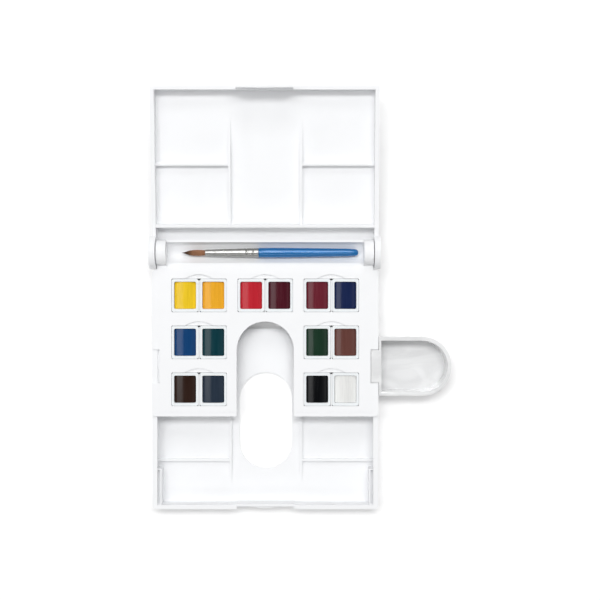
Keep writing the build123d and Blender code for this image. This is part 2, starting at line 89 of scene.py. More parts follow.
# Distance and radius of the handle's profile, from the tenon in the ferrule to the round end
HANDLE_PROFILE = (
    (FERRULE_REACH - 9.0, 0.0), (FERRULE_REACH - 9.0, 1.7), (FERRULE_REACH - 8.8, 1.95),
    (FERRULE_REACH - 0.02, 2.25), (FERRULE_REACH - 0.02, 2.7), (FERRULE_REACH + 0.06, 2.88),
    (FERRULE_REACH + 0.3, 2.95), (24.1, 3.0), (36.1, 2.9), (46.0, 2.76), (54.1, 2.65), (62.0, 2.51), (69.1, 2.4),
    (74.2, 2.1), (75.0, 1.88), (75.6, 1.5), (76.0, 0.9), (76.18, 0.4), (76.2, 0.0),
)
HAIR_SEED = 11
HAIR_LENGTH = 14.5
HAIR_BELLY = 1.78
HAIR_BEND = 0.03
# Shares of their length by which the outermost hairs are shorter, and by which hairs differ at random
HAIR_ROUNDING = 0.12
HAIR_RAGGEDNESS = 0.05
# Share of a hair's length, and how far the tuft spreads there as a share of its belly
HAIR_STATIONS = (
    (-0.12, 0.80), (0.0, 0.85), (0.15, 0.93), (0.35, 1.0), (0.55, 0.97), (0.75, 0.78), (0.9, 0.42), (1.0, 0.08),
)
HAIR_TAPER_START = 0.4
HAIR_TAPER = 1.45
HAIR_TIP_WIDTH = 0.12

# Stage, in metres
CAMERA_X, CAMERA_Y = 20.9 * MM, 21.5 * MM
TABLE_HALF_WIDTH = 1.7
TABLE_DROP = 0.1 * MM
TABLE_GLOW = 0.11
LAMP_AIM = (0, 0.02, 0.01)
# Name, place, width and length of each lamp, with the setting of its power and the share that it takes of that
LAMPS = (
    ("top_softbox", (0.0, 0.74, 2.38), (1.76, 0.5), "top_light", 1),
    ("rear_softbox", (0.0, 2.18, 2.08), (1.54, 0.77), "rear_light", 1),
    ("left_softbox", (-1.32, 0.02, 2.19), (0.62, 1.32), "left_light", 1),
    ("right_strip", (2.2, -0.13, 1.64), (0.66, 1.76), "fill_light", 1),
    ("front_strip", (0.0, -1.6, 2.2), (1.54, 0.44), "fill_light", 2.5),
)

# Each cake of paint, from the rear row to the front one and from left to right
PAINTS = (
    ("Lemon", (0.82, 0.55, 0.017)),
    ("Warm yellow", (0.81, 0.39, 0.02)),
    ("Scarlet", (0.5, 0.015, 0.028)),
    ("Maroon", (0.065, 0.003, 0.011)),
    ("Crimson", (0.135, 0.012, 0.024)),
    ("Ultramarine", (0.005, 0.014, 0.068)),
    ("Sky blue", (0.005, 0.05, 0.165)),
    ("Blue green", (0.002, 0.037, 0.05)),
    ("Sap green", (0.008, 0.032, 0.016)),
    ("Light brown", (0.125, 0.046, 0.037)),
    ("Dark brown", (0.026, 0.011, 0.007)),
    ("Slate blue", (0.019, 0.031, 0.051)),
    ("Black", (0.0025, 0.003, 0.004)),
    ("Chinese white", (0.8, 0.8, 0.785)),
)


class PlasticSettings(bpy.types.PropertyGroup):
    """Plastics of the box, the dish and the half pans."""

    box_colour: FloatVectorProperty(
        name="Box", description="Colour of the tray, lid and palette",
        subtype="COLOR", default=(0.925, 0.932, 0.945), min=0, max=1,
    )
    pan_colour: FloatVectorProperty(
        name="Half pans", description="Colour of the half pans",
        subtype="COLOR", default=(0.86, 0.89, 0.905), min=0, max=1,
    )
    dish_colour: FloatVectorProperty(
        name="Dish", description="Colour of the dish",
        subtype="COLOR", default=(0.87, 0.875, 0.88), min=0, max=1,
    )
    dish_edge: FloatProperty(
        name="Dish edges", description="Radius of the dish's rounded edges",
        default=0.28 * MM, min=0.02 * MM, max=0.5 * MM, unit="LENGTH",
    )
    grain: FloatProperty(
        name="Grain", description="Size of the grain that the mould leaves on the plastic",
        default=0.16 * MM, min=0.05 * MM, max=1 * MM, unit="LENGTH",
    )


def paint_property(label, colour):
    """Colour property of one cake."""
    return FloatVectorProperty(
        name=label, description="Colour of this cake of paint", subtype="COLOR", default=colour, min=0, max=1
    )


class PaintSettings(bpy.types.PropertyGroup):
    """Colours of the fourteen cakes."""

    __annotations__ = {
        f"paint_{number}": paint_property(label, colour) for number, (label, colour) in enumerate(PAINTS, start=1)
    }


class BrushSettings(bpy.types.PropertyGroup):
    """Hair, ferrule and handle of the brush."""

    hairs: IntProperty(name="Hairs", description="Number of hairs in the brush", default=1300, min=400, max=2400)
    hair_width: FloatProperty(
        name="Hair width", description="Width of one hair at its belly",
        default=0.1 * MM, min=0.04 * MM, max=0.2 * MM, unit="LENGTH",
    )
    root_colour: FloatVectorProperty(
        name="Hair", description="Colour of the hair near the ferrule",
        subtype="COLOR", default=(0.36, 0.165, 0.075), min=0, max=1,
    )
    tip_colour: FloatVectorProperty(
        name="Hair tips", description="Colour of the hair at its point",
        subtype="COLOR", default=(0.018, 0.010, 0.008), min=0, max=1,
    )
    ferrule_colour: FloatVectorProperty(
        name="Ferrule", description="Colour of the plated ferrule",
        subtype="COLOR", default=(0.45, 0.45, 0.435), min=0, max=1,
    )
    lacquer_colour: FloatVectorProperty(
        name="Handle", description="Colour of the lacquered handle",
        subtype="COLOR", default=(0.0, 0.145, 0.41), min=0, max=1,
    )


class StageSettings(bpy.types.PropertyGroup):
    """Floor, lamps and camera."""

    camera_height: FloatProperty(
        name="Camera height", description="Height of the camera over the table",
        default=0.7, min=0.3, max=3, unit="LENGTH",
    )
    lens: FloatProperty(
        name="Lens", description="Focal length of the camera", default=68.3, min=20, max=200, unit="CAMERA"
    )
    top_light: FloatProperty(
        name="Top light", description="Power of the long softbox overhead", default=31, min=0, max=300, unit="POWER"
    )
    rear_light: FloatProperty(
        name="Rear light", description="Power of the softbox behind the box", default=12, min=0, max=300, unit="POWER"
    )
    left_light: FloatProperty(
        name="Left light", description="Power of the softbox at the left", default=7.5, min=0, max=300, unit="POWER"
    )
    fill_light: FloatProperty(
        name="Fill lights", description="Power of the strip light at the right; the one in front has 2.5 times as much",
        default=2.4, min=0, max=300, unit="POWER",
    )
    ambient: FloatProperty(
        name="Room light", description="Strength of the light from the studio's walls", default=0.36, min=0, max=2
    )


# Shader helpers

def set_inputs(node, values):
    """Values of a node's inputs, by their names or numbers."""
    for name, value in values.items():
        node.inputs[name].default_value = value


def add_node(tree, kind, values=None, **settings):
    """A node with its settings and the values of its inputs."""
    made = tree.nodes.new(kind)
    for name, value in settings.items():
        setattr(made, name, value)
    set_inputs(made, values or {})
    return made


def noise_range(tree, low=0.0, high=1.0):
    """A node that spreads a noise over the values from low to high."""
    return add_node(
        tree, "ShaderNodeMapRange", {"From Min": NOISE_LOW, "From Max": NOISE_HIGH, "To Min": low, "To Max": high}
    )


def shade_mix(tree, colour, first, second):
    """A mix of two shades of one colour, each given as a factor."""
    return add_node(
        tree, "ShaderNodeMix",
        {"A": (*[first * part for part in colour], 1), "B": (*[min(1, second * part) for part in colour], 1)},
        data_type="RGBA",
    )


def new_group(name, inputs, outputs):
    """An empty node group with its sockets, and its input and output nodes."""
    group = bpy.data.node_groups.new(name, "ShaderNodeTree")
    for label, kind, default in inputs:
        socket = group.interface.new_socket(label, in_out="INPUT", socket_type=kind)
        if default is not None:
            socket.default_value = default
    for label, kind in outputs:
        group.interface.new_socket(label, in_out="OUTPUT", socket_type=kind)
    return group, group.nodes.new("NodeGroupInput"), group.nodes.new("NodeGroupOutput")


def moulded_surface_group():
    """Grain of the mould and slow flow marks: Height for bump, Mottle for colour and gloss."""
    name = "Moulded Surface"
    if name in bpy.data.node_groups:
        return bpy.data.node_groups[name]
    group, start, end = new_group(
        name,
        [("Vector", "NodeSocketVector", None), ("Grain Size", "NodeSocketFloat", 0.16 * MM),
         ("Flow Size", "NodeSocketFloat", 22 * MM)],
        [("Height", "NodeSocketFloat"), ("Mottle", "NodeSocketFloat")],
    )
    link = group.links.new
    grain_scale = add_node(group, "ShaderNodeMath", {0: 1.0}, operation="DIVIDE")
    flow_scale = add_node(group, "ShaderNodeMath", {0: 1.0}, operation="DIVIDE")
    grain = add_node(group, "ShaderNodeTexNoise", {"Detail": 2.0, "Roughness": 0.55})
    flow = add_node(group, "ShaderNodeTexNoise", {"Detail": 3.0, "Roughness": 0.5, "Distortion": 0.7})
    flow_part = add_node(group, "ShaderNodeMath", {1: 0.35}, operation="MULTIPLY")
    height = add_node(group, "ShaderNodeMath", operation="ADD")
    link(start.outputs["Grain Size"], grain_scale.inputs[1])
    link(start.outputs["Flow Size"], flow_scale.inputs[1])
    link(start.outputs["Vector"], grain.inputs["Vector"])
    link(start.outputs["Vector"], flow.inputs["Vector"])
    link(grain_scale.outputs[0], grain.inputs["Scale"])
    link(flow_scale.outputs[0], flow.inputs["Scale"])
    link(flow.outputs["Fac"], flow_part.inputs[0])
    link(grain.outputs["Fac"], height.inputs[0])
    link(flow_part.outputs[0], height.inputs[1])
    link(height.outputs[0], end.inputs["Height"])
    link(flow.outputs["Fac"], end.inputs["Mottle"])
    return group


def handling_marks_group():
    """Fine hairline scratches, few and far between: Marks is 1 on a scratch."""
    name = "Handling Marks"
    if name in bpy.data.node_groups:
        return bpy.data.node_groups[name]
    group, start, end = new_group(
        name,
        [("Vector", "NodeSocketVector", None), ("Spread", "NodeSocketFloat", 0.04)],
        [("Marks", "NodeSocketFloat")],
    )
    link = group.links.new
    lanes = []
    for turn, scale in ((0.35, (900, 70, 900)), (-0.9, (60, 800, 800))):
        turned = add_node(group, "ShaderNodeMapping", {"Rotation": (0, 0, turn), "Scale": scale})
        noise = add_node(group, "ShaderNodeTexNoise", {"Scale": 1.0, "Detail": 2.0})
        thin = add_node(group, "ShaderNodeMath", {1: 0.5}, operation="SUBTRACT")
        size = add_node(group, "ShaderNodeMath", operation="ABSOLUTE")
        near = add_node(group, "ShaderNodeMath", {1: 0.004}, operation="LESS_THAN")
        link(start.outputs["Vector"], turned.inputs["Vector"])
        link(turned.outputs["Vector"], noise.inputs["Vector"])
        link(noise.outputs["Fac"], thin.inputs[0])
        link(thin.outputs[0], size.inputs[0])
        link(size.outputs[0], near.inputs[0])
        lanes.append(near)
    patches = add_node(group, "ShaderNodeTexNoise", {"Scale": 55.0, "Detail": 1.0})
    chosen = add_node(group, "ShaderNodeMath", operation="LESS_THAN")
    level = add_node(group, "ShaderNodeMath", {0: 0.36}, operation="ADD")
    both = add_node(group, "ShaderNodeMath", operation="MAXIMUM")
    marks = add_node(group, "ShaderNodeMath", operation="MULTIPLY")
    link(start.outputs["Vector"], patches.inputs["Vector"])
    link(start.outputs["Spread"], level.inputs[1])
    link(patches.outputs["Fac"], chosen.inputs[0])
    link(level.outputs[0], chosen.inputs[1])
    link(lanes[0].outputs[0], both.inputs[0])
    link(lanes[1].outputs[0], both.inputs[1])
    link(both.outputs[0], marks.inputs[0])
    link(chosen.outputs[0], marks.inputs[1])
    link(marks.outputs[0], end.inputs["Marks"])
    return group


def dried_paint_group():
    """Pigment of a dried cake: a colour shaded by fine grain and slow streaks, with its height and gloss."""
    name = "Dried Paint"
    if name in bpy.data.node_groups:
        return bpy.data.node_groups[name]
    group, start, end = new_group(
        name,
        [("Vector", "NodeSocketVector", None), ("Colour", "NodeSocketColor", (0.5, 0.5, 0.5, 1))],
        [("Colour", "NodeSocketColor"), ("Height", "NodeSocketFloat"), ("Gloss", "NodeSocketFloat")],
    )
    link = group.links.new
    grain = add_node(group, "ShaderNodeTexNoise", {"Scale": 5200.0, "Detail": 3.0, "Roughness": 0.6})
    drawn = add_node(group, "ShaderNodeMapping", {"Scale": (900, 60, 300)})
    streaks = add_node(group, "ShaderNodeTexNoise", {"Scale": 1.0, "Detail": 3.0, "Roughness": 0.55})
    pits = add_node(group, "ShaderNodeTexVoronoi", {"Scale": 1500.0}, feature="F1")
    pit = add_node(group, "ShaderNodeMapRange", {"From Min": 0.0, "From Max": 0.16, "To Min": -1.0, "To Max": 0.0})
    shade = noise_range(group, 0.92, 1.06)
    coloured = add_node(group, "ShaderNodeVectorMath", operation="SCALE")
    mixed = add_node(group, "ShaderNodeMath", {1: 0.45}, operation="MULTIPLY_ADD")
    pitted = add_node(group, "ShaderNodeMath", {1: 0.5}, operation="MULTIPLY_ADD")
    gloss = noise_range(group, 0.15, 0.24)
    link(start.outputs["Vector"], grain.inputs["Vector"])
    link(start.outputs["Vector"], drawn.inputs["Vector"])
    link(start.outputs["Vector"], pits.inputs["Vector"])
    link(drawn.outputs["Vector"], streaks.inputs["Vector"])
    link(streaks.outputs["Fac"], shade.inputs["Value"])
    link(start.outputs["Colour"], coloured.inputs[0])
    link(shade.outputs[0], coloured.inputs["Scale"])
    link(pits.outputs["Distance"], pit.inputs["Value"])
    link(grain.outputs["Fac"], mixed.inputs[0])
    link(streaks.outputs["Fac"], mixed.inputs[2])
    link(pit.outputs[0], pitted.inputs[0])
    link(mixed.outputs[0], pitted.inputs[2])
    link(streaks.outputs["Fac"], gloss.inputs["Value"])
    link(coloured.outputs[0], end.inputs["Colour"])
    link(pitted.outputs[0], end.inputs["Height"])
    link(gloss.outputs[0], end.inputs["Gloss"])
    return group


def new_material(name):
    """A material with its tree, its Principled shader and the object's own coordinates."""
    material = bpy.data.materials.new(name)
    material.use_nodes = True
    tree = material.node_tree
    place = add_node(tree, "ShaderNodeTexCoord")
    return material, tree, tree.nodes["Principled BSDF"], place.outputs["Object"]


def place_group(tree, group, vector, **values):
    """A node group in a material, fed with coordinates."""
    made = add_node(tree, "ShaderNodeGroup", values, node_tree=group)
    tree.links.new(vector, made.inputs["Vector"])
    return made


def moulded_plastic(name, colour, grain, gloss=(0.30, 0.42), milky=0.0):
    """Injection-moulded plastic with the mould's grain, slow flow marks and a few hairline scratches."""
    if name in bpy.data.materials:
        return bpy.data.materials[name]
    material, tree, shader, vector = new_material(name)
    link = tree.links.new
    surface = place_group(tree, moulded_surface_group(), vector, **{"Grain Size": grain})
    marks = place_group(tree, handling_marks_group(), vector)
    tint = noise_range(tree)
    mixed = shade_mix(tree, colour, 0.985, 1)
    rough = noise_range(tree, *gloss)
    scuffed = add_node(tree, "ShaderNodeMath", {1: 0.18}, operation="MULTIPLY_ADD")
    bump = add_node(tree, "ShaderNodeBump", {"Strength": 0.35, "Distance": 0.02 * MM})
    link(surface.outputs["Mottle"], tint.inputs["Value"])
    link(tint.outputs[0], mixed.inputs["Factor"])
    link(mixed.outputs["Result"], shader.inputs["Base Color"])
    link(surface.outputs["Mottle"], rough.inputs["Value"])
    link(marks.outputs["Marks"], scuffed.inputs[0])
    link(rough.outputs[0], scuffed.inputs[2])
    link(scuffed.outputs[0], shader.inputs["Roughness"])
    link(surface.outputs["Height"], bump.inputs["Height"])
    link(bump.outputs["Normal"], shader.inputs["Normal"])
    set_inputs(shader, {
        "Subsurface Weight": milky, "Subsurface Radius": (1.0, 0.95, 0.9), "Subsurface Scale": 0.8 * MM,
        "IOR": 1.49, "Specular IOR Level": 0.12,
    })
    return material


def swirled_plastic(name, colour):
    """Glossy plastic of the dish. Its colour is darkened in swirls of painted reflection, and its bumps and gloss
    follow the same swirls.
    """
    if name in bpy.data.materials:
        return bpy.data.materials[name]
    material, tree, shader, vector = new_material(name)
    link = tree.links.new
    stretched = add_node(tree, "ShaderNodeMapping", {"Rotation": (0, 0, 0.5), "Scale": (34, 60, 34)})
    swirl = add_node(tree, "ShaderNodeTexNoise", {"Scale": 1.0, "Detail": 3.0, "Roughness": 0.45, "Distortion": 2.2})
    painted_reflection_and_gloss = add_node(tree, "ShaderNodeMapRange", {"From Min": 0.32, "From Max": 0.68}, interpolation_type="SMOOTHSTEP")
    # Painted reflection: the swirls darken the colour to stand for reflections in the glossy well; roughness and bump
    # follow them too
    mixed = shade_mix(tree, colour, 0.9, 1)
    rough = add_node(tree, "ShaderNodeMapRange", {"To Min": 0.10, "To Max": 0.2})
    bump = add_node(tree, "ShaderNodeBump", {"Strength": 0.4, "Distance": 0.25 * MM})
    marks = place_group(tree, handling_marks_group(), vector, Spread=0.08)
    scuffed = add_node(tree, "ShaderNodeMath", {1: 0.25}, operation="MULTIPLY_ADD")
    link(vector, stretched.inputs["Vector"])
    link(stretched.outputs["Vector"], swirl.inputs["Vector"])
    link(swirl.outputs["Fac"], painted_reflection_and_gloss.inputs["Value"])
    link(painted_reflection_and_gloss.outputs[0], mixed.inputs["Factor"])
    link(mixed.outputs["Result"], shader.inputs["Base Color"])
    link(painted_reflection_and_gloss.outputs[0], rough.inputs["Value"])
    link(marks.outputs["Marks"], scuffed.inputs[0])
    link(rough.outputs[0], scuffed.inputs[2])
    link(scuffed.outputs[0], shader.inputs["Roughness"])
    link(swirl.outputs["Fac"], bump.inputs["Height"])
    link(bump.outputs["Normal"], shader.inputs["Normal"])
    set_inputs(shader, {"Coat Weight": 0.4, "Coat Roughness": 0.05})
    return material


def dried_paint(name, colour):
    """A cake of dried watercolour with a faint satin skin."""
    material, tree, shader, vector = new_material(name)
    link = tree.links.new
    pigment = place_group(tree, dried_paint_group(), vector, Colour=(*colour, 1))
    bump = add_node(tree, "ShaderNodeBump", {"Strength": 0.2, "Distance": 0.04 * MM})
    link(pigment.outputs["Colour"], shader.inputs["Base Color"])
    link(pigment.outputs["Gloss"], shader.inputs["Roughness"])
    link(pigment.outputs["Height"], bump.inputs["Height"])
    link(bump.outputs["Normal"], shader.inputs["Normal"])
    set_inputs(shader, {"IOR": 1.5, "Specular IOR Level": 0.27})
    return material


def plated_metal(name, colour):
    """Bright plating over drawn tube: fine lines along the tube and a little tarnish."""
    material, tree, shader, vector = new_material(name)
    link = tree.links.new
    drawn = add_node(tree, "ShaderNodeMapping", {"Scale": (60, 5200, 5200)})
    lines = add_node(tree, "ShaderNodeTexNoise", {"Scale": 1.0, "Detail": 2.0})
    clouds = add_node(tree, "ShaderNodeTexNoise", {"Scale": 380.0, "Detail": 3.0})
    rough = noise_range(tree, 0.26, 0.38)
    tarnish = add_node(tree, "ShaderNodeMapRange", {"From Min": 0.35, "From Max": 0.7})
    mixed = shade_mix(tree, colour, 1, 0.86)
    bump = add_node(tree, "ShaderNodeBump", {"Strength": 0.12, "Distance": 0.01 * MM})
    link(vector, drawn.inputs["Vector"])
    link(drawn.outputs["Vector"], lines.inputs["Vector"])
    link(vector, clouds.inputs["Vector"])
    link(clouds.outputs["Fac"], rough.inputs["Value"])
    link(clouds.outputs["Fac"], tarnish.inputs["Value"])
    link(tarnish.outputs[0], mixed.inputs["Factor"])
    link(mixed.outputs["Result"], shader.inputs["Base Color"])
    link(rough.outputs[0], shader.inputs["Roughness"])
    link(lines.outputs["Fac"], bump.inputs["Height"])
    link(bump.outputs["Normal"], shader.inputs["Normal"])
    set_inputs(shader, {"Metallic": 1.0})
    return material


def lacquered_wood(name, colour):
    """Coloured lacquer over turned wood: faint grain below a wet-looking coat."""
    material, tree, shader, vector = new_material(name)
    link = tree.links.new
    grain_place = add_node(tree, "ShaderNodeMapping", {"Scale": (70, 1500, 1500)})
    grain = add_node(tree, "ShaderNodeTexNoise", {"Scale": 1.0, "Detail": 4.0, "Roughness": 0.6})
    shade = noise_range(tree)
    mixed = shade_mix(tree, colour, 0.8, 1.12)
    marks = place_group(tree, handling_marks_group(), vector, Spread=0.1)
    rough = add_node(tree, "ShaderNodeMath", {1: 0.2, 2: 0.3}, operation="MULTIPLY_ADD")
    bump = add_node(tree, "ShaderNodeBump", {"Strength": 0.04, "Distance": 0.02 * MM})
    link(vector, grain_place.inputs["Vector"])
    link(grain_place.outputs["Vector"], grain.inputs["Vector"])
    link(grain.outputs["Fac"], shade.inputs["Value"])
    link(shade.outputs[0], mixed.inputs["Factor"])
    link(mixed.outputs["Result"], shader.inputs["Base Color"])
    link(marks.outputs["Marks"], rough.inputs[0])
    link(rough.outputs[0], shader.inputs["Roughness"])
    link(grain.outputs["Fac"], bump.inputs["Height"])
    link(bump.outputs["Normal"], shader.inputs["Normal"])
    set_inputs(shader, {
        "Metallic": 0.2, "Specular IOR Level": 0.12,
        "Coat Weight": 1.0, "Coat Roughness": 0.08, "Coat IOR": 1.55,
    })
    return material


def brush_hair_material(name, root_colour, tip_colour, root_x, tip_x):
    """Hair that darkens to its point, with streaks from hair to hair."""
    material, tree, shader, vector = new_material(name)
    link = tree.links.new
    parts = add_node(tree, "ShaderNodeSeparateXYZ")
    along = add_node(tree, "ShaderNodeMapRange", {"From Min": root_x, "From Max": tip_x})
    ramp = add_node(tree, "ShaderNodeValToRGB")
    stops = ramp.color_ramp.elements
    stops[0].position, stops[0].color = 0.0, (*[0.8 * part for part in root_colour], 1)
    stops[1].position, stops[1].color = 1.0, (*tip_colour, 1)
    for position, shade in ((0.15, 1.0), (0.52, 0.9), (0.74, 0.30)):
        stop = stops.new(position)
        stop.color = (*[shade * part for part in root_colour], 1)
    strands = add_node(tree, "ShaderNodeMapping", {"Scale": (60, 7500, 7500)})
    streaks = add_node(tree, "ShaderNodeTexNoise", {"Scale": 1.0, "Detail": 2.0})
    light = noise_range(tree, 0.6, 1.35)
    coloured = add_node(tree, "ShaderNodeVectorMath", operation="SCALE")
    rough = noise_range(tree, 0.34, 0.5)
    link(vector, parts.inputs[0])
    link(parts.outputs["X"], along.inputs["Value"])
    link(along.outputs[0], ramp.inputs["Fac"])
    link(vector, strands.inputs["Vector"])
    link(strands.outputs["Vector"], streaks.inputs["Vector"])
    link(streaks.outputs["Fac"], light.inputs["Value"])
    link(ramp.outputs["Color"], coloured.inputs[0])
    link(light.outputs[0], coloured.inputs["Scale"])
    link(coloured.outputs[0], shader.inputs["Base Color"])
    link(streaks.outputs["Fac"], rough.inputs["Value"])
    link(rough.outputs[0], shader.inputs["Roughness"])
    return material


# Mesh helpers

def link_piece(name, mesh, material, body, slot_name, *nodes):
    """An object for a finished mesh, riding on its body and standing for its CAD nodes."""
    piece = bpy.data.objects.new(name, mesh)
    bpy.context.scene.collection.objects.link(piece)
    mesh.materials.clear()
    mesh.materials.append(material)
    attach(piece, body)
    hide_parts(*nodes)
    return piece


def notch_cutter():
    """Solids in the shape of the finger notches, from their floor to above the deck."""
    form = bmesh.new()
    half_turn = math.asin(NOTCH_HALF_CHORD / NOTCH_RADIUS)
    floor_z = (DECK_TOP - NOTCH_DEPTH) * MM
    for x, chord_y in NOTCH_PLACES:
        foot_y = chord_y - NOTCH_OVERLAP
        outline = [(x + NOTCH_HALF_CHORD, foot_y), (x - NOTCH_HALF_CHORD, foot_y)]
        for step in range(NOTCH_STEPS + 1):
            turn = (2 * step / NOTCH_STEPS - 1) * half_turn
            arc_y = chord_y + NOTCH_RISE + NOTCH_RADIUS * (math.cos(turn) - 1)
            outline.append((x + NOTCH_RADIUS * math.sin(turn), arc_y))
        base = form.faces.new([form.verts.new((a * MM, b * MM, floor_z)) for a, b in outline])
        grown = bmesh.ops.extrude_face_region(form, geom=[base])["geom"]
        top = [part for part in grown if isinstance(part, bmesh.types.BMVert)]
        bmesh.ops.translate(form, vec=(0, 0, 2 * NOTCH_DEPTH * MM), verts=top)
    bmesh.ops.recalc_face_normals(form, faces=form.faces)
    return form


def finished_mesh(name, form):
    """A mesh made from a bmesh, which is freed."""
    mesh = bpy.data.meshes.new(name)
    form.to_mesh(mesh)
    form.free()
    return mesh


def cut_notches(form):
    """The tray with the finger notches cut into its deck, in place of the uncut form, which is freed."""
    cutter = bpy.data.objects.new("notch_cutter", finished_mesh("notch_cutter", notch_cutter()))
    whole = bpy.data.objects.new("uncut_tray", finished_mesh("uncut_tray", form))
    for item in (cutter, whole):
        bpy.context.scene.collection.objects.link(item)
    cut = whole.modifiers.new("Notches", "BOOLEAN")
    cut.operation = "DIFFERENCE"
    cut.solver = "EXACT"
    cut.object = cutter
    result = bpy.data.meshes.new_from_object(whole.evaluated_get(bpy.context.evaluated_depsgraph_get()))
    form = bmesh.new()
    form.from_mesh(result)
    bmesh.ops.triangulate(form, faces=form.faces)
    bmesh.ops.remove_doubles(form, verts=form.verts, dist=MERGE_DISTANCE)
    meshes = (cutter.data, whole.data, result)
    for item in (cutter, whole):
        bpy.data.objects.remove(item)
    for mesh in meshes:
        bpy.data.meshes.remove(mesh)
    return form


def smooth_between(form, sharp_angle):
    """Smooth shading up to the edges that turn by the sharp angle or more."""
    for face in form.faces:
        face.smooth = True
    for border in form.edges:
        border.smooth = border.calc_face_angle(0) < sharp_angle


def moulding(name, node, body, slot_name, material, edge=0.0):
    """A merged copy of a moulded part, smooth between its sharp edges; edge is the radius that rounds those."""
    form = bmesh.new()
    form.from_mesh(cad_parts[node].data)
    bmesh.ops.remove_doubles(form, verts=form.verts, dist=MERGE_DISTANCE)
    if node == "tray":
        form = cut_notches(form)
    smooth_between(form, SHARP_ANGLE)
    piece = link_piece(name, finished_mesh(name, form), material, body, slot_name, node)
    if edge:
        bevel = piece.modifiers.new("Rounded edges", "BEVEL")
        bevel.width = edge
        bevel.segments = 3
        bevel.limit_method = "ANGLE"
        bevel.angle_limit = SHARP_ANGLE
        bevel.harden_normals = True
        bevel.miter_outer = "MITER_ARC"
    return piece


def brush_axis():
    """Frame in the middle of the ferrule, with X from the hair to the handle."""
    ferrule_middle, handle_middle = (
        (Vector(low) + Vector(high)) / 2 for low, high in (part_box("brush_ferrule"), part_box("brush_handle"))
    )
    along = (handle_middle - ferrule_middle).normalized()
    across = Vector((0, 0, 1)).cross(along).normalized()
    turn = Matrix((along, across, along.cross(across))).transposed().to_4x4()
    return Matrix.Translation(ferrule_middle) @ turn


def turned_piece(name, profile):
    """A solid of revolution round the brush's axis from (distance along, radius) points in mm."""
    form = bmesh.new()
    verts = [form.verts.new((along * MM, 0, radius * MM)) for along, radius in profile]
    edges = [form.edges.new(pair) for pair in zip(verts, verts[1:])]
    bmesh.ops.spin(
        form, geom=verts + edges, cent=(0, 0, 0), axis=(1, 0, 0), angle=math.tau,
        steps=TURNED_STEPS, use_merge=True, use_duplicate=False,
    )
    bmesh.ops.remove_doubles(form, verts=form.verts, dist=0.001 * MM)
    bmesh.ops.recalc_face_normals(form, faces=form.faces)
    bmesh.ops.transform(form, matrix=brush_axis(), verts=form.verts)
    smooth_between(form, TURNED_SHARP_ANGLE)
    return finished_mesh(name, form)


# Pieces

class PAINTSET_OT_box(bpy.types.Operator):
    """Tray, drawn-out palette and lid in moulded white plastic"""

    bl_idname = "paint_set.box"
    bl_label = "Box mouldings"

    def execute(self, context):
        settings = context.scene.paint_set_plastic
        plastic = moulded_plastic("Box plastic", settings.box_colour, settings.grain)
        for node, name in BOX_PARTS:
            moulding(name, node, node, "white_plastic", plastic)
        return {"FINISHED"}


class PAINTSET_OT_dish(bpy.types.Operator):
    """Side dish in glossy plastic with swirls of painted reflection"""

    bl_idname = "paint_set.dish"
    bl_label = "Side dish"

    def execute(self, context):
        settings = context.scene.paint_set_plastic
        plastic = swirled_plastic("Dish plastic", settings.dish_colour)
        moulding("side_dish_moulding", "side_dish", "side_dish", "dish_plastic", plastic, settings.dish_edge)
        return {"FINISHED"}


class PAINTSET_OT_half_pans(bpy.types.Operator):
    """Half pans in slightly milky plastic"""

    bl_idname = "paint_set.half_pans"
    bl_label = "Half pans"

    def execute(self, context):
        settings = context.scene.paint_set_plastic
        plastic = moulded_plastic(
            "Half pan plastic", settings.pan_colour, settings.grain, gloss=(0.22, 0.34), milky=0.2
        )
        for number in range(1, len(PAINTS) + 1):
            moulding(f"half_pan_cup_{number}", f"pan_{number}", f"half_pan_{number}", "pan_plastic", plastic)
        return {"FINISHED"}


class PAINTSET_OT_cakes(bpy.types.Operator):
    """Cakes of dried paint, one in each half pan"""

    bl_idname = "paint_set.cakes"
    bl_label = "Paint cakes"

    def execute(self, context):
        settings = context.scene.paint_set_paint
        for number, (label, _) in enumerate(PAINTS, start=1):
            paint = dried_paint(f"{label} paint", getattr(settings, f"paint_{number}"))
            moulding(f"paint_cake_{number}", f"cake_{number}", f"half_pan_{number}", f"paint_{number}", paint)
        return {"FINISHED"}


class PAINTSET_OT_ferrule(bpy.types.Operator):
    """Seamless tapered ferrule with two crimped rings and rolled ends"""

    bl_idname = "paint_set.ferrule"
    bl_label = "Brush ferrule"

    def execute(self, context):
        tip, end = -FERRULE_REACH, FERRULE_REACH

        def radius(along):
            return FERRULE_TIP_RADIUS + FERRULE_FLARE * (along - tip) / (end - tip)

        profile = [
            (tip + 0.06, radius(tip) - 0.1), (tip, radius(tip) - 0.03), (tip + 0.05, radius(tip) + 0.03),
            (tip + 0.25, radius(tip) + 0.04), (tip + 0.45, radius(tip + 0.45)),
        ]
        for ring in CRIMPED_RINGS:
            profile += [(ring + step, radius(ring + step) - dent) for step, dent in RING_DENTS]
        profile += [
            (end - 0.15, radius(end)), (end - 0.03, radius(end) - 0.04), (end, radius(end) - 0.12),
            (end, radius(end) - FERRULE_WALL), (tip + 0.06, radius(tip) - FERRULE_WALL), profile[0],
        ]
        mesh = turned_piece("ferrule_tube", profile)
        metal = plated_metal("Ferrule plating", context.scene.paint_set_brush.ferrule_colour)
        link_piece("ferrule_tube", mesh, metal, "brush", "ferrule_metal", "brush_ferrule")
        return {"FINISHED"}


class PAINTSET_OT_handle(bpy.types.Operator):
    """Short turned handle, lacquered, with a round end"""

    bl_idname = "paint_set.handle"
    bl_label = "Brush handle"

    def execute(self, context):
        mesh = turned_piece("lacquered_handle", HANDLE_PROFILE)
        lacquer = lacquered_wood("Handle lacquer", context.scene.paint_set_brush.lacquer_colour)
        link_piece("lacquered_handle", mesh, lacquer, "brush", "handle_lacquer", "brush_handle")
        return {"FINISHED"}


